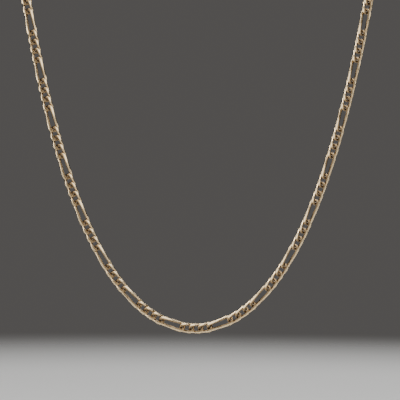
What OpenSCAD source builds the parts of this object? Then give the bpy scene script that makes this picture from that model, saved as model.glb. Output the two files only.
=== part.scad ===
// Figaro neck chain, closed by a spring ring clasp and hanging as it does when worn.
// The origin is the point on the nape where it rests: X to the right, Y away from the front, Z up.

/* [Links] */
// repeats all round, each of one long link and three short ones
repeats = 30; // [26:1:31]
// thickness of the wire that the links are bent from
wire_d = 0.84; // [0.75:0.01:1]
// open length in a long link between the two wires hooked in it
long_open = 4.75; // [3:0.01:7]
// open length in a short link between the two wires hooked in it
short_open = 0.9; // [0.7:0.01:1.6]
// room beside the wire that passes through a link
side_gap = 0.48; // [0.35:0.01:0.8]
// slack between two hooked wires
hook_gap = 0.22; // [0.14:0.01:0.3]
// turn of a link about its length from its middle to each end
twist = 64; // [60:1:66]
// share of the narrowing that the twist brings, less where the links are pressed wide
narrowing = 0.45; // [0.1:0.05:1]
// length of a link's rounded end, as a share of a half circle's
end_share = 0.8; // [0.7:0.05:1]
// dip of the wire towards the link's middle plane where it crosses from one side to the other
dip = 0.7; // [0:0.1:0.7]
// thickness that the links are rolled to, in the middle of the chain
flat_t = 1.5; // [1.3:0.05:2]
// how much lower each rolled face lies at the chain's edges than in its middle
edge_drop = 0.34; // [0:0.01:0.4]
// spread of the rolled wire to the link's outside, by the thickness that rolling took off
spread_out = 0.7; // [0:0.1:1]
// the same spread to the link's inside
spread_in = 0.4; // [0:0.1:0.6]

/* [Hang] */
// size of the curve in which the front hangs: its radius at the lowest point
hang_r = 21.6; // [16:0.1:30]
// height of the hanging front above the lowest point
front_h = 104; // [90:1:120]
// height of the nape above the hanging front
nape_up = 34; // [30:1:40]
// middle of the long link left of the lowest point, measured along the chain
long_link_at = -7.2; // [-7.5:0.1:7.5]

/* [Clasp] */
// outer width of the spring ring
clasp_w = 6; // [5:0.1:8]
// thickness of the spring ring
clasp_wire = 1.3; // [1:0.05:1.6]
// outer width of the eye on the spring ring
eye_w = 2.85; // [2.6:0.05:3.4]
// thickness of the eye
eye_wire = 0.65; // [0.5:0.05:0.8]
// length of the thumb peg
peg_l = 1.1; // [0.8:0.1:1.5]
// thickness of the thumb peg
peg_d = 0.8; // [0.6:0.05:1]
// thickness of the two jump rings
ring_wire = 0.7; // [0.5:0.05:0.8]
// clearance where a ring hooks into another piece
ring_gap = 0.15; // [0.12:0.01:0.25]
// play of a jump ring along the chain
ring_play = 0.4; // [0.3:0.05:0.8]

/* [Hidden] */
$fn = 96;

gold = [0.86, 0.72, 0.45];
pale_gold = [0.9, 0.78, 0.54];

// how far the back of the loop reaches sideways before it turns to the nape, as a share of its depth
back_reach = 0.56;
// length over which the chain leaves the front plane, as a share of the nape's height over it
rise_reach = 1.25;
back_steps = 60;
// roll of the chain about its own length: share of the way from the lowest point to the nape, degrees
roll_rows = [[-0.945, -50], [-0.5, 10], [0, 6], [0.5, 2], [0.945, 50]];

wire_sides = 6;
arc_steps = 4;
long_mids = 1;
long_sides = 2 * (arc_steps + 1 + long_mids);
short_sides = 2 * (arc_steps + 1);

long_pitch = long_open + 2 * wire_d + hook_gap;
short_pitch = short_open + 2 * wire_d + hook_gap;
repeat_l = long_pitch + 3 * short_pitch;
oval_r = (2 * wire_d + side_gap) / 2;

// pieces of the clasp, each placed by how far it lies from the end of the last link
clasp_r = (clasp_w - clasp_wire) / 2;
eye_r = (eye_w - eye_wire) / 2;
hook_ring_r = (wire_d + eye_wire + 2 * ring_gap + ring_play + ring_wire) / 2;
end_ring_r = (wire_d + clasp_wire + 2 * ring_gap + ring_play + ring_wire) / 2;
hook_ring_at = hook_ring_r - wire_d / 2 - ring_gap - ring_wire / 2;
eye_at = hook_ring_at + hook_ring_r - ring_wire / 2 - ring_gap - eye_wire / 2 + eye_r;
clasp_at = eye_at + eye_r + (clasp_wire - eye_wire) / 2 + clasp_r;
end_ring_at = clasp_at + clasp_r - clasp_wire / 2 - ring_gap - ring_wire / 2 + end_ring_r;
clasp_run = end_ring_at + end_ring_r - ring_wire / 2 - ring_gap - wire_d / 2 + wire_d + hook_gap;

// links are numbered along the chain, the long ones by every fourth number
first_link = 1 - 4 * floor(repeats / 2);
last_link = 4 * ceil(repeats / 2);

function is_long(i) = i % 4 == 0;
function pitch(i) = is_long(i) ? long_pitch : short_pitch;
function link_start(i) =
    let (k = floor(i / 4), m = i - 4 * k)
    long_link_at - long_pitch / 2 + k * repeat_l + (m == 0 ? 0 : long_pitch + (m - 1) * short_pitch);

half_run = (link_start(last_link + 1) - link_start(first_link) + clasp_run) / 2;

// the front hangs in a catenary, and from its top the loop turns back to the nape
front_run = sqrt(pow(front_h + hang_r, 2) - pow(hang_r, 2));
function front_point(s) = [hang_r * ln(s / hang_r + sqrt(1 + pow(s / hang_r, 2))), 0,
    sqrt(pow(hang_r, 2) + pow(s, 2)) - hang_r];
front_top = front_point(front_run);
front_way = [hang_r, 0, front_run] / (front_h + hang_r);

function neck_route(depth) = [
    front_top,
    front_top + front_way * nape_up * rise_reach,
    [back_reach * depth, depth, front_h + nape_up],
    [0, depth, front_h + nape_up]
];
function on_curve(c, t) = pow(1 - t, 3) * c[0] + 3 * t * pow(1 - t, 2) * c[1] + 3 * t * t * (1 - t) * c[2]
    + pow(t, 3) * c[3];
function back_points(depth) = [for (k = [0:back_steps]) on_curve(neck_route(depth), k / back_steps)];
function run_of(p, k = 1) = k >= len(p) ? 0 : norm(p[k] - p[k - 1]) + run_of(p, k + 1);

// the depth of the loop follows from the length of the chain
function fitted_depth(near, far, tries = 7) =
    let (near_run = run_of(back_points(near)), far_run = run_of(back_points(far)),
        next = near + (far - near) * (half_run - front_run - near_run) / (far_run - near_run))
    tries == 0 || abs(next - far) < 0.001 ? next : fitted_depth(far, next, tries - 1);
neck_depth = fitted_depth(front_top[0], 2 * front_top[0]);

back = back_points(neck_depth);
back_runs = [for (k = 0, run = front_run; k <= back_steps;
    run = run + (k < back_steps ? norm(back[k + 1] - back[k]) : 0), k = k + 1) run];
back_x = [for (k = [0:back_steps]) [back_runs[k], back[k][0]]];
back_y = [for (k = [0:back_steps]) [back_runs[k], back[k][1]]];
back_z = [for (k = [0:back_steps]) [back_runs[k], back[k][2]]];
nape = back[back_steps];

// distance from the lowest point, less than 0 on the left, counted on past the nape from the other side
function around(run) = run - 2 * half_run * floor((run + half_run) / (2 * half_run));

// a point on the chain's middle line
function chain_point(run) =
    let (s = around(run), q = abs(s),
        p = q < front_run ? front_point(q) : [lookup(q, back_x), lookup(q, back_y), lookup(q, back_z)])
    [sign(s) * p[0], p[1], p[2]] - nape;

function unit(v) = v / norm(v);
function square_to(v, way) = unit(v - (v * way) * way);
function eased(t) = let (c = min(max(t, 0), 1)) c * c * (3 - 2 * c);

// the side of the chain that faces outwards turns from the front to the nape
function facing(run) =
    let (s = around(run), early = front_run - nape_up / 2,
        turn = 180 * eased((abs(s) - early) / (half_run - early)))
    [sign(s) * sin(turn), -cos(turn), 0];

// middle and three directions of link i: along the chain, to its inner edge and outwards
function link_frame(i) =
    let (s = link_start(i), a = chain_point(s), b = chain_point(s + pitch(i)), mid = s + pitch(i) / 2,
        along = unit(b - a), out = square_to(facing(mid), along), inner = cross(out, along),
        roll = lookup(mid / half_run, roll_rows))
    [(a + b) / 2, along, inner * cos(roll) + out * sin(roll), out * cos(roll) - inner * sin(roll)];

// station k round a link's oval: its place and the way that faces out of the oval
function oval_station(k, sides, h) =
    let (side = k < sides / 2 ? 1 : -1, n = k % (sides / 2), mids = sides / 2 - arc_steps - 1,
        angle = n > arc_steps ? 90 : -90 + 180 * n / arc_steps, rail = h - oval_r * end_share,
        x = n > arc_steps ? rail - 2 * rail * (n - arc_steps) / (mids + 1)
            : rail + oval_r * end_share * cos(angle),
        way = unit([n > arc_steps ? 0 : cos(angle), end_share * sin(angle)]))
    side * [x, oval_r * sin(angle), way[0], way[1]];

// half the thickness at a distance from the chain's middle line
function rolled(y) = flat_t / 2 - edge_drop * pow(y / (oval_r + wire_d / 2), 2);

// corner j of the wire at station k, with the oval twisted, pressed wide and rolled
function link_corner(k, j, sides, h) =
    let (o = oval_station(k, sides, h), turn = -twist * o[0] / h, part = 360 * j / wire_sides,
        mid_y = o[1] * (1 - narrowing * (1 - cos(turn))),
        mid_z = o[1] * sin(turn) * pow(abs(o[1]) / oval_r, dip),
        taken_off = max(0, abs(mid_z) + wire_d / 2 - flat_t / 2) / wire_d,
        wide = 1 + taken_off * (spread_in * (1 - cos(part)) + spread_out * (1 + cos(part))) / 2,
        x = o[2] * cos(part) * wire_d / 2, y = o[3] * cos(part) * wire_d / 2, z = sin(part) * wire_d / 2,
        out = mid_y + (y * cos(turn) - z * sin(turn)) * wide, up = mid_z + y * sin(turn) + z * cos(turn))
    [o[0] + x * wide, out, min(max(up, -rolled(out)), rolled(out))];

function link_sides(i) = is_long(i) ? long_sides : short_sides;
function link_corners(i) =
    let (f = link_frame(i), h = (pitch(i) + wire_d + hook_gap) / 2)
    [for (k = [0:link_sides(i) - 1], j = [0:wire_sides - 1])
        let (p = link_corner(k, j, link_sides(i), h)) f[0] + f[1] * p[0] + f[2] * p[1] + f[3] * p[2]];
function link_faces(sides, from) =
    [for (k = [0:sides - 1], j = [0:wire_sides - 1], half = [0, 1])
        let (l = (k + 1) % sides, m = (j + 1) % wire_sides, a = from + k * wire_sides + j,
            c = from + l * wire_sides + m)
        half == 0 ? [a, from + k * wire_sides + m, c] : [a, c, from + l * wire_sides + j]];

// links one after another, each a closed ring of wire hooked in the next
module link_run(first, last) {
    starts = [for (i = first, n = 0; i <= last; n = n + wire_sides * link_sides(i), i = i + 1) n];
    polyhedron(
        points = [for (i = [first:last]) each link_corners(i)],
        faces = [for (i = [first:last]) each link_faces(link_sides(i), starts[i - first])],
        convexity = 10);
}

module chain_left() {
    color(gold) link_run(first_link, 0);
}

module chain_right() {
    color(gold) link_run(1, last_link);
}

// the clasp lies between the ends of the last and the first link, flat against the nape
right_end = chain_point(link_start(last_link + 1));
left_end = chain_point(link_start(first_link));
clasp_way = unit(left_end - right_end);
clasp_out = square_to([0, 1, 0], clasp_way);
clasp_up = cross(clasp_out, clasp_way);
clasp_from = (right_end + left_end - clasp_way * (clasp_run - wire_d - hook_gap)) / 2;

module by_clasp(run) {
    p = clasp_from + clasp_way * run;
    multmatrix([for (r = [0:2]) [clasp_way[r], clasp_up[r], clasp_out[r], p[r]]]) children();
}

module wire_ring(r, d) {
    rotate_extrude() translate([r, 0]) circle(d = d);
}

module clasp() {
    color(pale_gold) {
        by_clasp(clasp_at) {
            wire_ring(clasp_r, clasp_wire);
            rotate([0, 0, 60]) translate([clasp_r, 0, 0]) rotate([0, 90, 0])
                cylinder(h = clasp_wire / 2 + peg_l, d = peg_d);
        }
        by_clasp(eye_at) wire_ring(eye_r, eye_wire);
    }
}

module clasp_ring() {
    color(pale_gold) by_clasp(hook_ring_at) rotate([90, 0, 0]) wire_ring(hook_ring_r, ring_wire);
}

module end_ring() {
    color(pale_gold) by_clasp(end_ring_at) rotate([90, 0, 0]) wire_ring(end_ring_r, ring_wire);
}

chain_left();
chain_right();
clasp();
clasp_ring();
end_ring();
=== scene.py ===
import bpy, bmesh, math
from mathutils import Matrix, Vector, geometry


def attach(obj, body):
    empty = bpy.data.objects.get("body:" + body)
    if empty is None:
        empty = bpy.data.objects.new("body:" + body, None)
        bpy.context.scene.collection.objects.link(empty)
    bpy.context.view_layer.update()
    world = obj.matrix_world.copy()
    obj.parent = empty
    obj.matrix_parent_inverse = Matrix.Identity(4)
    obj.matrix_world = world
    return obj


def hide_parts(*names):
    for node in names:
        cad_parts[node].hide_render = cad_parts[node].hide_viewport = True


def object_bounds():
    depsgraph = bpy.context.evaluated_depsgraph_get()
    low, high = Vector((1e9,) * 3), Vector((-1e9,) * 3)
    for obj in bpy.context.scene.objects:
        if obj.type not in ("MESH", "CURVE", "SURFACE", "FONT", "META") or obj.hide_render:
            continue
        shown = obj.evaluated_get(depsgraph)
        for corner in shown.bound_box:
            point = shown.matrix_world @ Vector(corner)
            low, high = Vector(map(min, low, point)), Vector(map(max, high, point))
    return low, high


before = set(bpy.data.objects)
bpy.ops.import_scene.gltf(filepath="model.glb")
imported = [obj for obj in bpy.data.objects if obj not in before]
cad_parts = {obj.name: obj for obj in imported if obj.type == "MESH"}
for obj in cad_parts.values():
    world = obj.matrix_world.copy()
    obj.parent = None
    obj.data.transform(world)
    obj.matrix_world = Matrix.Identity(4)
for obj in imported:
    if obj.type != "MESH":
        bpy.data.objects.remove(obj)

# Gold figaro neck chain that hangs as it is worn, closed by a spring ring at the nape.
# Metres; the origin is the nape, X to the right, Y away from the front, Z up.

cadLow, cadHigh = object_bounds()

# the way the chain takes

hang = {
    "radius": 0.0216,       # of the hanging curve at its lowest point
    "frontHeight": 0.104,   # of the flat hanging front
    "napeUp": 0.034,        # nape above the front
    "riseReach": 1.25,      # how softly the chain leaves the front
    "backReach": 0.56,      # how wide it comes round the neck
    "backSteps": 60,
    "longLinkAt": -0.0072,  # middle of the long link left of the lowest point
    "repeats": 30,
}
linkForm = {
    "wire": 0.00084,
    "longOpen": 0.00475,    # between the two wires hooked in a link
    "shortOpen": 0.0009,
    "sideGap": 0.00048,
    "hookGap": 0.00022,
    "twist": 61,            # degrees from a link's middle to each end
    "narrowing": 0.43,      # share of the twist's narrowing that the pressed links keep
    "dip": 0.7,             # how far the wire dips where it crosses the middle
    "endShare": 0.8,        # length of a link's rounded end as a share of a half circle's
    "flat": 0.0015,         # thickness after rolling, in the middle
    "edgeDrop": 0.00034,    # how much lower the rolled faces lie at the chain's edges
    "spreadOut": 0.55,      # how far the rolled wire spreads, by what rolling took off its thickness
    "spreadIn": 0.1,
    "crown": 0.3,           # of the flats
    "fullness": 1,          # of the round wire
    "railSwell": 0.00014,   # how much broader the long links' rails are inside, at their middle
    "edgeHighlightTo": 0.76,       # painted highlight: the chain is kept bright from its edges to here, by the half width
    "middleShadeFrom": 0.54,       # painted shade: a deeper tone from here to the middle
    "insideFrom": -0.2,     # painted shade on the wire's inner side starts here, by its half thickness
    "insideTo": 0.65,       # and wholly from here
    "wireSides": 14,
    "turnSteps": 12,
    "longRailSteps": 12,
    "shortRailSteps": 5,
    "grainShift": 31.7,     # so that no two links share their drawn lines
}
# roll of the chain about its own length, by share of the way to the nape
rolls = [(-0.945, -50), (-0.5, 10), (0, 6), (0.5, 2), (0.945, 50)]

wire = linkForm["wire"]
hooked = 2 * wire + linkForm["hookGap"]
longPitch = linkForm["longOpen"] + hooked
shortPitch = linkForm["shortOpen"] + hooked
repeatLength = longPitch + 3 * shortPitch
ovalRadius = wire + linkForm["sideGap"] / 2
halfWidth = ovalRadius + wire / 2
firstLink = 1 - 4 * (hang["repeats"] // 2)
lastLink = 4 * math.ceil(hang["repeats"] / 2)

claspForm = {
    "width": 0.006,
    "wire": 0.0013,
    "eyeWidth": 0.00285,
    "eyeWire": 0.00065,
    "pegLength": 0.0011,
    "pegWidth": 0.0008,
    "ringWire": 0.0007,
    "ringGap": 0.00015,
    "ringPlay": 0.0004,
}


def claspPlaces(c):
    # how far each ring lies from the end of the last link, and the run they take together
    ringR = (c["width"] - c["wire"]) / 2
    eyeR = (c["eyeWidth"] - c["eyeWire"]) / 2
    linked = 2 * c["ringGap"] + c["ringPlay"] + c["ringWire"]
    eyeLinkR = (wire + c["eyeWire"] + linked) / 2
    endLinkR = (wire + c["wire"] + linked) / 2
    halfHook = c["ringWire"] / 2 + c["ringGap"]
    eyeLinkAt = eyeLinkR - wire / 2 - halfHook
    eyeAt = eyeLinkAt + eyeLinkR - halfHook - c["eyeWire"] / 2 + eyeR
    ringAt = eyeAt + eyeR + (c["wire"] - c["eyeWire"]) / 2 + ringR
    endLinkAt = ringAt + ringR - c["wire"] / 2 - halfHook + endLinkR
    run = endLinkAt + endLinkR - halfHook - wire / 2 + wire + linkForm["hookGap"]
    return {"ringR": ringR, "eyeR": eyeR, "eyeLinkR": eyeLinkR, "endLinkR": endLinkR, "ringAt": ringAt,
            "eyeAt": eyeAt, "eyeLinkAt": eyeLinkAt, "endLinkAt": endLinkAt, "run": run}


clasp = claspPlaces(claspForm)


def isLong(i):
    return i % 4 == 0


def pitchOf(i):
    return longPitch if isLong(i) else shortPitch


def linkStart(i):
    group, place = divmod(i, 4)
    start = hang["longLinkAt"] - longPitch / 2 + group * repeatLength
    return start if place == 0 else start + longPitch + (place - 1) * shortPitch


halfRun = (linkStart(lastLink + 1) - linkStart(firstLink) + clasp["run"]) / 2
topHeight = hang["frontHeight"] + hang["radius"]
frontRun = math.sqrt(topHeight ** 2 - hang["radius"] ** 2)


def frontPoint(s):
    r = hang["radius"]
    return Vector((r * math.asinh(s / r), 0, math.hypot(r, s) - r))


def neckRoute(depth):
    top = frontPoint(frontRun)
    rise = Vector((hang["radius"], 0, frontRun)) / topHeight * hang["napeUp"] * hang["riseReach"]
    nape = Vector((0, depth, hang["frontHeight"] + hang["napeUp"]))
    side = Vector((hang["backReach"] * depth, 0, 0))
    return geometry.interpolate_bezier(top, top + rise, nape + side, nape, hang["backSteps"] + 1)


def lengthOf(points):
    return sum((b - a).length for a, b in zip(points, points[1:]))


def neckDepth():
    # deep enough that the whole chain is used up
    low, high = 0.02, 0.2
    for _ in range(40):
        middle = (low + high) / 2
        if frontRun + lengthOf(neckRoute(middle)) < halfRun:
            low = middle
        else:
            high = middle
    return middle


depth = neckDepth()
backPoints = neckRoute(depth)
backRuns = [frontRun]
for a, b in zip(backPoints, backPoints[1:]):
    backRuns.append(backRuns[-1] + (b - a).length)
nape = backPoints[-1]


def between(x, rows):
    # straight interpolation in rows of (x, value)
    if x <= rows[0][0]:
        return rows[0][1]
    for (x0, v0), (x1, v1) in zip(rows, rows[1:]):
        if x <= x1:
            return v0 + (v1 - v0) * (x - x0) / (x1 - x0)
    return rows[-1][1]


def around(run):
    # counted on past the nape from the other side
    return run - 2 * halfRun * math.floor((run + halfRun) / (2 * halfRun))


def chainPoint(run):
    s = around(run)
    q = abs(s)
    p = frontPoint(q) if q < frontRun else between(q, list(zip(backRuns, backPoints)))
    return Vector((math.copysign(p.x, s), p.y, p.z)) - nape


def facing(run):
    # the outer face turns from the front to the nape
    s = around(run)
    early = frontRun - hang["napeUp"] / 2
    t = min(max((abs(s) - early) / (halfRun - early), 0), 1)
    turn = math.pi * t * t * (3 - 2 * t)
    return Vector((math.copysign(math.sin(turn), s), -math.cos(turn), 0))


def squareTo(v, way):
    return (v - v.dot(way) * way).normalized()


def placed(x, y, z, at):
    return Matrix.Translation(at) @ Matrix((x, y, z)).transposed().to_4x4()


def linkPlace(i):
    start, end = chainPoint(linkStart(i)), chainPoint(linkStart(i) + pitchOf(i))
    middle = linkStart(i) + pitchOf(i) / 2
    along = (end - start).normalized()
    out = squareTo(facing(middle), along)
    inner = out.cross(along)
    roll = math.radians(between(middle / halfRun, rolls))
    return placed(along, inner * math.cos(roll) + out * math.sin(roll),
                  out * math.cos(roll) - inner * math.sin(roll), (start + end) / 2)


print(f"route: loop {2 * halfRun * 1000:.1f} mm, neck depth {depth * 1000:.2f} mm")


def vertsIn(geom):
    return [g for g in geom if isinstance(g, bmesh.types.BMVert)]


def ringOf(verts):
    # the edges that close a ring of new vertices
    fresh = set(verts)
    return list({e for v in verts for e in v.link_edges if e.other_vert(v) in fresh})


def pushRing(bm, ring, vec):
    verts = vertsIn(bmesh.ops.extrude_edge_only(bm, edges=ring)["geom"])
    bmesh.ops.translate(bm, vec=vec, verts=verts)
    return ringOf(verts)


def turnRing(bm, ring, centre, axis, angle, steps):
    spun = bmesh.ops.spin(bm, geom=ring, cent=centre, axis=axis, angle=angle, steps=steps)
    return ringOf(vertsIn(spun["geom_last"]))


def stepRing(bm, ring, centre, scale):
    # a shoulder where the tube changes its thickness
    verts = vertsIn(bmesh.ops.extrude_edge_only(bm, edges=ring)["geom"])
    bmesh.ops.scale(bm, vec=(scale, scale, scale), space=Matrix.Translation(-centre), verts=verts)
    return ringOf(verts)


def finishedObject(name, bm, material, node):
    mesh = bpy.data.meshes.new(name)
    bm.to_mesh(mesh)
    bm.free()
    mesh.materials.append(material)
    piece = bpy.data.objects.new(name, mesh)
    bpy.context.scene.collection.objects.link(piece)
    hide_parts(node)
    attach(piece, "root")
    print(f"{name}: {len(mesh.polygons)} faces")


class Socket:
    # a value in a node tree, with Python's own signs for its maths
    def __init__(self, nodes, socket):
        self.nodes, self.socket = nodes, socket

    def maths(self, operation, *values):
        return self.nodes.add("Math", {"operation": operation}, dict(enumerate(values)))

    def __add__(self, other):
        return self.maths("ADD", self, other)

    def __sub__(self, other):
        return self.maths("SUBTRACT", self, other)

    def __rsub__(self, other):
        return self.maths("SUBTRACT", other, self)

    def __mul__(self, other):
        return self.maths("MULTIPLY", self, other)

    def __truediv__(self, other):
        return self.maths("DIVIDE", self, other)

    def __rtruediv__(self, other):
        return self.maths("DIVIDE", other, self)

    __radd__ = __add__
    __rmul__ = __mul__

    def within(self, low, high):
        return self.maths("MINIMUM", self.maths("MAXIMUM", self, low), high)

    def smooth(self):
        return self * self * (3 - 2 * self)


class NodeBoard:
    # the node tree of a material or of the world
    def __init__(self, owner):
        owner.use_nodes = True
        self.tree = owner.node_tree
        self.tree.nodes.clear()

    def add(self, kind, settings=None, inputs=None, output=0):
        node = self.tree.nodes.new("ShaderNode" + kind)
        for key, value in (settings or {}).items():
            setattr(node, key, value)
        for key, value in (inputs or {}).items():
            slot = node.inputs[key]
            if isinstance(value, Socket):
                self.tree.links.new(value.socket, slot)
            elif slot.type == "RGBA":
                slot.default_value = (*value, 1)
            else:
                slot.default_value = value
        return Socket(self, node.outputs[output]) if node.outputs else None

    def mix(self, factor, a, b):
        return self.add("Mix", {"data_type": "RGBA"}, {0: factor, 6: a, 7: b}, output=2)

    def noise(self, way, scale, detail, roughness):
        return self.add("TexNoise", inputs={"Vector": way, "Scale": scale, "Detail": detail,
                                            "Roughness": roughness})


goldLook = {
    "pale": (0.88, 0.69, 0.42),
    "warm": (0.82, 0.60, 0.34),
    # painted shade tone for the chain's middle
    "middleShadeTone": (0.51, 0.35, 0.18),
    # painted shade tone for the wires' inner sides, which face the link's hole
    "insideShadeTone": (0.17, 0.115, 0.06),
    "rolledTone": (0.91, 0.72, 0.43),
    "rolledShare": 0.55,
    "middleShadeShare": 0.9,
    "insideShadeShare": 0.85,   # how strong the painted shade on the wires' inner sides is, varied at random by the wear noise
    "roughness": 0.14,
    "claspRoughness": 0.16,
    "cloudScale": 260,      # of the drift between pale and warm
    "wearScale": 1500,
    "claspCloudScale": 320,
    "claspWearScale": 1700,
    "bump": 0.3,
    "bumpDepth": 0.00002,
}


def linkGold():
    look = goldLook
    material = bpy.data.materials.new("paleGoldWire")
    board = NodeBoard(material)
    objectWay = board.add("TexCoord", output=3)
    wireWay = board.add("Attribute", {"attribute_name": "straightWire"}, output=1)
    rolled = board.add("Attribute", {"attribute_name": "rolledFlat"}, output=2)
    paintedInsideShade = board.add("Attribute", {"attribute_name": "paintedInsideShade"}, output=2)
    paintedMiddleShade = board.add("Attribute", {"attribute_name": "paintedMiddleShade"}, output=2)
    drawn = board.add("Mapping", inputs={"Vector": wireWay, "Scale": (0.5, 9, 9)})
    hatched = board.add("Mapping", inputs={
        "Vector": wireWay, "Scale": (7, 1.5, 1.5), "Rotation": (0, 0, 0.6)})
    lines = board.noise(drawn, 1.6, 4, 0.6)
    scores = board.noise(hatched, 1.8, 3, 0.55)
    cloud = board.noise(objectWay, look["cloudScale"], 2, 0.5)
    wear = board.noise(objectWay, look["wearScale"], 3, 0.6)
    tone = board.mix((cloud * 3 - 1).within(0, 1), look["pale"], look["warm"])
    patchy = 0.75 + 0.5 * wear
    tone = board.mix(rolled * look["rolledShare"], tone, look["rolledTone"])
    # painted shade towards the chain's middle, with a painted highlight kept at its edges, patchy at random
    tone = board.mix((paintedMiddleShade * look["middleShadeShare"] * patchy).within(0, 1), tone, look["middleShadeTone"])
    # painted shade on the inner sides of the wires, where they face the link's hole
    tone = board.mix((paintedInsideShade * look["insideShadeShare"] * patchy).within(0, 1), tone, look["insideShadeTone"])
    rough = look["roughness"] + (lines - 0.5) * 0.16 + rolled * (0.06 + 0.2 * (scores - 0.4))
    rough = rough + paintedInsideShade * 0.14 + paintedMiddleShade * 0.08
    height = (1 - rolled) * lines * 0.5 + rolled * scores * 0.5 + wear * 0.3
    bump = board.add("Bump", inputs={
        "Strength": look["bump"], "Distance": look["bumpDepth"], "Height": height})
    gold = board.add("BsdfPrincipled", inputs={
        "Base Color": tone, "Roughness": rough.within(0.08, 0.7), "Metallic": 1.0, "Normal": bump})
    board.add("OutputMaterial", inputs={"Surface": gold})
    return material


def claspGold():
    look = goldLook
    material = bpy.data.materials.new("polishedClaspGold")
    board = NodeBoard(material)
    objectWay = board.add("TexCoord", output=3)
    stretched = board.add("Mapping", inputs={"Vector": objectWay, "Scale": (900, 6000, 6000)})
    cloud = board.noise(objectWay, look["claspCloudScale"], 2, 0.5)
    wear = board.noise(objectWay, look["claspWearScale"], 4, 0.65)
    lines = board.noise(stretched, 1, 2, 0.5)
    tone = board.mix((cloud * 3 - 1).within(0, 1), look["pale"], look["warm"])
    rough = look["claspRoughness"] + (wear - 0.5) * 0.2 + lines * 0.05
    height = wear * 0.6 + lines * 0.4
    bump = board.add("Bump", inputs={
        "Strength": look["bump"], "Distance": look["bumpDepth"], "Height": height})
    gold = board.add("BsdfPrincipled", inputs={
        "Base Color": tone, "Roughness": rough.within(0.08, 0.6), "Metallic": 1.0, "Normal": bump})
    board.add("OutputMaterial", inputs={"Surface": gold})
    return material


def wireStation(co, straight):
    # middle of the wire beside a point of the flat oval, the way out of the oval, the run along the wire
    if abs(co.x) <= straight:
        side = math.copysign(1, co.y)
        centre, out = Vector((co.x, side * ovalRadius, 0)), Vector((0, side, 0))
        run = straight + side * co.x if side > 0 else 3 * straight + math.pi * ovalRadius - co.x
    else:
        side = math.copysign(1, co.x)
        end = Vector((side * straight, 0, 0))
        out = Vector((co.x - end.x, co.y, 0)).normalized()
        centre = end + out * ovalRadius
        turned = math.acos(max(-1, min(1, out.y * side))) * ovalRadius
        run = 2 * straight + turned if side > 0 else 4 * straight + math.pi * ovalRadius + turned
    return centre, out, run


def rolledHeight(y):
    return linkForm["flat"] / 2 - linkForm["edgeDrop"] * (y / halfWidth) ** 2


def softLimit(z, limit, crown):
    # holds z under the limit, with a slight crown in place of a hard edge
    start = limit * (1 - crown)
    if abs(z) <= start:
        return z
    return math.copysign(limit - (limit - start) * math.exp(-(abs(z) - start) / (limit - start)), z)


def ramped(value, low, high):
    return min(1, max(0, (value - low) / (high - low)))


def railSwell(x, straight):
    # none where other wires lie in the link, all of it at the middle
    free = straight - 2 * wire
    return linkForm["railSwell"] * math.sin(ramped(abs(x), free, 0) * math.pi / 2) if free > 0 else 0


def formLink(bm, straight, half):
    # blunter ends, the twist, then the flats that rolling leaves, with the wire spread beside them
    f = linkForm
    twist, limit = math.radians(f["twist"]), f["flat"] / 2
    # mask of painted shade on the wires' inner sides
    paintedInsideShade = bm.verts.layers.float.new("paintedInsideShade")
    # mask of painted shade towards the chain's middle and painted highlight at its edges
    paintedMiddleShade = bm.verts.layers.float.new("paintedMiddleShade")
    for vert in bm.verts:
        centre, out, _ = wireStation(vert.co, straight)
        across, up = (vert.co - centre).dot(out), vert.co.z
        if across < 0:
            across *= 1 + railSwell(centre.x, straight) / (wire / 2)
        if abs(centre.x) > straight:
            beyond = centre.x - math.copysign(straight, centre.x)
            centre.x -= beyond * (1 - f["endShare"])
            out = Vector((out.x, out.y * f["endShare"], 0)).normalized()
        angle = -twist * centre.x / half
        turn = Matrix.Rotation(angle, 3, "X")
        middle = turn @ centre
        middle.y = centre.y * (1 - f["narrowing"] * (1 - math.cos(angle)))
        middle.z *= (abs(centre.y) / ovalRadius) ** f["dip"]
        spot = middle + turn @ (out * across + Vector((0, 0, up)))
        takenOff = max(0, abs(middle.z) + wire / 2 - limit) / wire
        share = across / (wire / 2)
        wide = 1 + takenOff * (f["spreadIn"] * (1 - share) + f["spreadOut"] * (1 + share)) / 2
        y = middle.y + (spot.y - middle.y) * wide
        inward = -(spot.y - middle.y) * math.copysign(2 / wire, middle.y)
        # painted shade on the wire's inner side, towards the link's hole
        vert[paintedInsideShade] = ramped(inward, f["insideFrom"], f["insideTo"])
        # painted highlight along the chain's edges, painted shade towards its middle
        vert[paintedMiddleShade] = ramped(abs(y) / halfWidth, f["edgeHighlightTo"], f["middleShadeFrom"])
        height = softLimit(spot.z, rolledHeight(y), f["crown"])
        vert.co = Vector((middle.x + (spot.x - middle.x) * wide, y, height))


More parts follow.
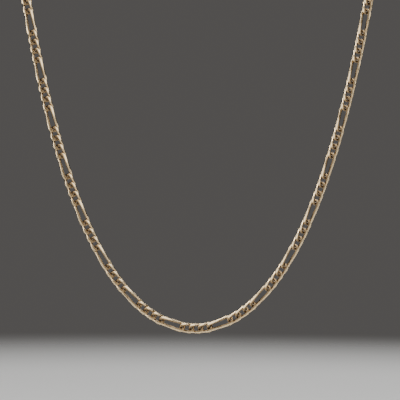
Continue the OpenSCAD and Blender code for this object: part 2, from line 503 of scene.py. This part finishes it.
def bentLink(name, pitch, railSteps):
    half = (pitch + wire + linkForm["hookGap"]) / 2
    straight = half - ovalRadius * linkForm["endShare"]
    whole = 4 * straight + 2 * math.pi * ovalRadius
    thick = wire * linkForm["fullness"]
    bm = bmesh.new()
    start = Matrix.Translation((-straight, ovalRadius, 0)) @ Matrix.Rotation(math.pi / 2, 4, "Y")
    bmesh.ops.create_circle(bm, segments=linkForm["wireSides"], radius=thick / 2, matrix=start)
    ring = list(bm.edges)
    for end in (1, -1):
        for _ in range(railSteps):
            ring = pushRing(bm, ring, (end * 2 * straight / railSteps, 0, 0))
        ring = turnRing(bm, ring, (end * straight, 0, 0), (0, 0, 1), -math.pi, linkForm["turnSteps"])
    bmesh.ops.remove_doubles(bm, verts=bm.verts, dist=wire / 50)

    # where each corner lay while the wire was straight, in millimetres
    straightWire = bm.loops.layers.float_vector.new("straightWire")
    rolledFlat = bm.loops.layers.float.new("rolledFlat")
    for face in bm.faces:
        face.smooth = True
        middleRun = wireStation(face.calc_center_median(), straight)[2]
        for loop in face.loops:
            centre, out, run = wireStation(loop.vert.co, straight)
            if abs(run - middleRun) > whole / 2:
                run += math.copysign(whole, middleRun - run)
            loop[straightWire] = Vector((run, (loop.vert.co - centre).dot(out), loop.vert.co.z)) * 1000
    formLink(bm, straight, half)
    bmesh.ops.recalc_face_normals(bm, faces=bm.faces)
    for face in bm.faces:
        for loop in face.loops:
            y, z = loop.vert.co.yz
            edge = rolledHeight(y) * (1 - linkForm["crown"])
            loop[rolledFlat] = ramped(abs(z) / edge, 1, 1.05)
    mesh = bpy.data.meshes.new(name)
    bm.to_mesh(mesh)
    bm.free()
    return mesh


def chainHalf(name, first, last, material, node):
    bm = bmesh.new()
    for i in range(first, last + 1):
        before, facesBefore = len(bm.verts), len(bm.faces)
        bm.from_mesh(longLink if isLong(i) else shortLink)
        bm.verts.ensure_lookup_table()
        bm.faces.ensure_lookup_table()
        bmesh.ops.transform(bm, matrix=linkPlace(i), verts=bm.verts[before:])
        straightWire = bm.loops.layers.float_vector["straightWire"]
        for face in bm.faces[facesBefore:]:
            for loop in face.loops:
                loop[straightWire] = loop[straightWire] + Vector((i * linkForm["grainShift"], 0, 0))
    finishedObject(name, bm, material, node)


wireGold = linkGold()
longLink = bentLink("longLink", longPitch, linkForm["longRailSteps"])
shortLink = bentLink("shortLink", shortPitch, linkForm["shortRailSteps"])
chainHalf("leftChainLinks", firstLink, 0, wireGold, "chain_left")
chainHalf("rightChainLinks", 1, lastLink, wireGold, "chain_right")

# the clasp lies on the straight line between the chain's two ends
rightEnd, leftEnd = chainPoint(linkStart(lastLink + 1)), chainPoint(linkStart(firstLink))
claspWay = (leftEnd - rightEnd).normalized()
claspOut = squareTo(Vector((0, 1, 0)), claspWay)
claspFrom = (rightEnd + leftEnd - claspWay * (clasp["run"] - wire - linkForm["hookGap"])) / 2


def byClasp(run):
    return placed(claspWay, claspOut.cross(claspWay), claspOut, claspFrom + claspWay * run)


springRing = {
    "tubeSides": 20,
    "stepsPerTurn": 60,
    "wireSides": 14,      # of the eye and the jump rings
    "eyeSteps": 36,
    "jumpRingSteps": 40,
    "boltFrom": -34,      # the bolt shows between these, in degrees from the end ring
    "boltTo": 42,
    "boltShare": 0.76,    # thickness of the bolt as a share of the tube's
    "pegAt": 60,
    "slotFrom": 63,
    "slotTo": 104,
    "slotDepth": 0.00012,
    "slotEdge": 0.00008,
    "slotSlope": 0.000026,
    "pegSides": 20,
    "pegRounding": 0.6,   # as a share of the peg's radius
    "sharpFrom": 35,      # degrees between faces that keep a sharp edge
}


def onRing(radius, degrees):
    a = math.radians(degrees)
    return Vector((radius * math.cos(a), radius * math.sin(a), 0))


def wireCircle(bm, radius, thickness, degrees, sides):
    turn = Matrix.Rotation(math.radians(degrees), 4, "Z")
    matrix = turn @ Matrix.Translation((radius, 0, 0)) @ Matrix.Rotation(math.pi / 2, 4, "X")
    verts = bmesh.ops.create_circle(bm, segments=sides, radius=thickness / 2, matrix=matrix)["verts"]
    return ringOf(verts)


def wireRing(bm, radius, thickness, sides, steps):
    ring = wireCircle(bm, radius, thickness, 0, sides)
    turnRing(bm, ring, (0, 0, 0), (0, 0, 1), 2 * math.pi, steps)
    bmesh.ops.remove_doubles(bm, verts=bm.verts, dist=thickness / 100)


def springRingClasp(material):
    s, c = springRing, claspForm
    bm = bmesh.new()
    # the eye, soldered to the ring
    wireRing(bm, clasp["eyeR"], c["eyeWire"], s["wireSides"], s["eyeSteps"])
    bmesh.ops.translate(bm, vec=(clasp["eyeAt"] - clasp["ringAt"], 0, 0), verts=bm.verts)
    ring = wireCircle(bm, clasp["ringR"], c["wire"], s["boltTo"], s["tubeSides"])
    tubeTurn = 360 - (s["boltTo"] - s["boltFrom"])
    steps = round(s["stepsPerTurn"] * tubeTurn / 360)
    ring = turnRing(bm, ring, (0, 0, 0), (0, 0, 1), math.radians(tubeTurn), steps)
    ring = stepRing(bm, ring, onRing(clasp["ringR"], s["boltFrom"]), s["boltShare"])
    ring = turnRing(bm, ring, (0, 0, 0), (0, 0, 1), math.radians(360 - tubeTurn), s["stepsPerTurn"] - steps)
    stepRing(bm, ring, onRing(clasp["ringR"], s["boltTo"]), 1 / s["boltShare"])
    bmesh.ops.remove_doubles(bm, verts=bm.verts, dist=c["wire"] / 200)
    bmesh.ops.recalc_face_normals(bm, faces=bm.faces)
    # the slot that the peg slides in
    slot = []
    for face in bm.faces:
        centre = face.calc_center_median()
        angle = math.degrees(math.atan2(centre.y, centre.x))
        if s["slotFrom"] < angle < s["slotTo"] and centre.xy.length > clasp["ringR"] + c["wire"] * 0.45:
            slot.append(face)
    for thickness, depth in ((s["slotEdge"], 0), (s["slotSlope"], -s["slotDepth"])):
        bmesh.ops.inset_region(bm, faces=slot, thickness=thickness, depth=depth, use_even_offset=True)
    # the thumb peg, with a rounded end
    pegRun, pegR = c["wire"] / 2 + c["pegLength"], c["pegWidth"] / 2
    turn = Matrix.Rotation(math.radians(s["pegAt"]), 4, "Z")
    outward = Matrix.Translation((clasp["ringR"] + pegRun / 2, 0, 0)) @ Matrix.Rotation(math.pi / 2, 4, "Y")
    peg = bmesh.ops.create_cone(bm, cap_ends=True, segments=s["pegSides"], radius1=pegR,
                                radius2=pegR, depth=pegRun, matrix=turn @ outward)["verts"]
    far = clasp["ringR"] + pegRun * 0.9
    rim = [e for e in ringOf(peg) if all(v.co.length > far for v in e.verts)]
    bmesh.ops.bevel(bm, geom=rim, offset=pegR * s["pegRounding"], segments=4, profile=0.5,
                    affect="EDGES", material=-1)
    bmesh.ops.recalc_face_normals(bm, faces=bm.faces)
    for face in bm.faces:
        face.smooth = True
    for edge in bm.edges:
        edge.smooth = edge.calc_face_angle(0) < math.radians(s["sharpFrom"])
    bmesh.ops.transform(bm, matrix=byClasp(clasp["ringAt"]), verts=bm.verts)
    finishedObject("springRingClasp", bm, material, "clasp")


def jumpRing(name, radius, at, material, node):
    bm = bmesh.new()
    wireRing(bm, radius, claspForm["ringWire"], springRing["wireSides"], springRing["jumpRingSteps"])
    bmesh.ops.recalc_face_normals(bm, faces=bm.faces)
    for face in bm.faces:
        face.smooth = True
    bmesh.ops.transform(bm, matrix=byClasp(at) @ Matrix.Rotation(math.pi / 2, 4, "X"), verts=bm.verts)
    finishedObject(name, bm, material, node)


polished = claspGold()
springRingClasp(polished)
jumpRing("eyeJumpRing", clasp["eyeLinkR"], clasp["eyeLinkAt"], polished, "clasp_ring")
jumpRing("endJumpRing", clasp["endLinkR"], clasp["endLinkAt"], polished, "end_ring")

stage = {
    "floorDrop": 0.045,    # below the lowest link
    "floorRadius": 0.8,
    "fadeFrom": 0.3,
    "fadeTo": 0.62,
    "frontMiddle": 0.05,   # above the lowest link
    "floorTone": (0.80, 0.795, 0.78),
    "floorFleck": (0.70, 0.69, 0.67),
    "seenTone": (0.09, 0.086, 0.083),
    "roomTone": (0.03, 0.0285, 0.027),
}


def paleFloor():
    bm = bmesh.new()
    bmesh.ops.create_circle(bm, cap_ends=True, segments=96, radius=stage["floorRadius"])
    mesh = bpy.data.meshes.new("paleFloor")
    bm.to_mesh(mesh)
    bm.free()
    floor = bpy.data.objects.new("paleFloor", mesh)
    floor.location = (0, 0, cadLow.z - stage["floorDrop"])
    bpy.context.scene.collection.objects.link(floor)
    material = bpy.data.materials.new("palePaper")
    board = NodeBoard(material)
    objectWay = board.add("TexCoord", output=3)
    far = board.add("VectorMath", {"operation": "LENGTH"}, {0: objectWay}, output=1)
    fade = ((far - stage["fadeFrom"]) / (stage["fadeTo"] - stage["fadeFrom"])).within(0, 1).smooth()
    grain = board.noise(objectWay, 900, 3, 0.5)
    tone = board.mix(grain * 0.1, stage["floorTone"], stage["floorFleck"])
    paper = board.add("BsdfPrincipled", inputs={"Base Color": tone, "Roughness": 0.8})
    clear = board.add("BsdfTransparent")
    faded = board.add("MixShader", inputs={0: fade, 1: paper, 2: clear})
    board.add("OutputMaterial", inputs={"Surface": faded})
    mesh.materials.append(material)


softBoxes = {
    # place from the middle of the hanging front, width and height, watts
    "loop": ((0, -0.14, 0.03), (0.12, 0.12), 0.08),
    "front": ((0, -0.9, 0.2), (0.9, 0.4), 1.1),
    "left": ((-0.86, -0.3, 0.12), (0.3, 0.6), 2.5),
    "right": ((0.7, -0.6, 0.12), (0.3, 0.6), 0.9),
    "highLeft": ((-0.6, -0.4, 0.6), (0.4, 0.4), 1.9),
    "highRight": ((0.6, -0.4, 0.6), (0.4, 0.4), 1.2),
    "top": ((0, -0.3, 0.8), (0.7, 0.4), 6.5),
    "back": ((0.3, 1.0, 0.5), (0.8, 0.4), 3.5),
}


def softBox(name, location, target, size, watts):
    data = bpy.data.lights.new(name, "AREA")
    data.shape, data.size, data.size_y = "RECTANGLE", *size
    data.energy = watts
    lamp = bpy.data.objects.new(name, data)
    lamp.location = location
    lamp.rotation_euler = (Vector(target) - Vector(location)).to_track_quat("-Z", "Y").to_euler()
    lamp.visible_camera = False
    bpy.context.scene.collection.objects.link(lamp)


def studio():
    front = Vector((0, -depth, -nape.z + stage["frontMiddle"]))
    for name, (place, size, watts) in softBoxes.items():
        softBox(name, front + Vector(place), front, size, watts)
    world = bpy.data.worlds.new("studio")
    bpy.context.scene.world = world
    board = NodeBoard(world)
    seen = board.add("Background", inputs={"Color": stage["seenTone"]})
    room = board.add("Background", inputs={"Color": stage["roomTone"]})
    toCamera = board.add("LightPath")
    both = board.add("MixShader", inputs={0: toCamera, 1: room, 2: seen})
    board.add("OutputWorld", inputs={"Surface": both})


shot = {
    "distance": 0.6,       # from the hanging front
    "across": 0.00126,
    "aboveLowest": 0.03915,
    "lens": 177.3,
    "lean": 0.38,          # degrees that the camera is rolled
}


def frontCamera():
    data = bpy.data.cameras.new("frontCamera")
    data.lens = shot["lens"]
    camera = bpy.data.objects.new("frontCamera", data)
    camera.location = (shot["across"], -depth - shot["distance"], -nape.z + shot["aboveLowest"])
    camera.rotation_euler = (math.pi / 2, -math.radians(shot["lean"]), 0)
    bpy.context.scene.collection.objects.link(camera)
    bpy.context.scene.camera = camera


paleFloor()
studio()
frontCamera()
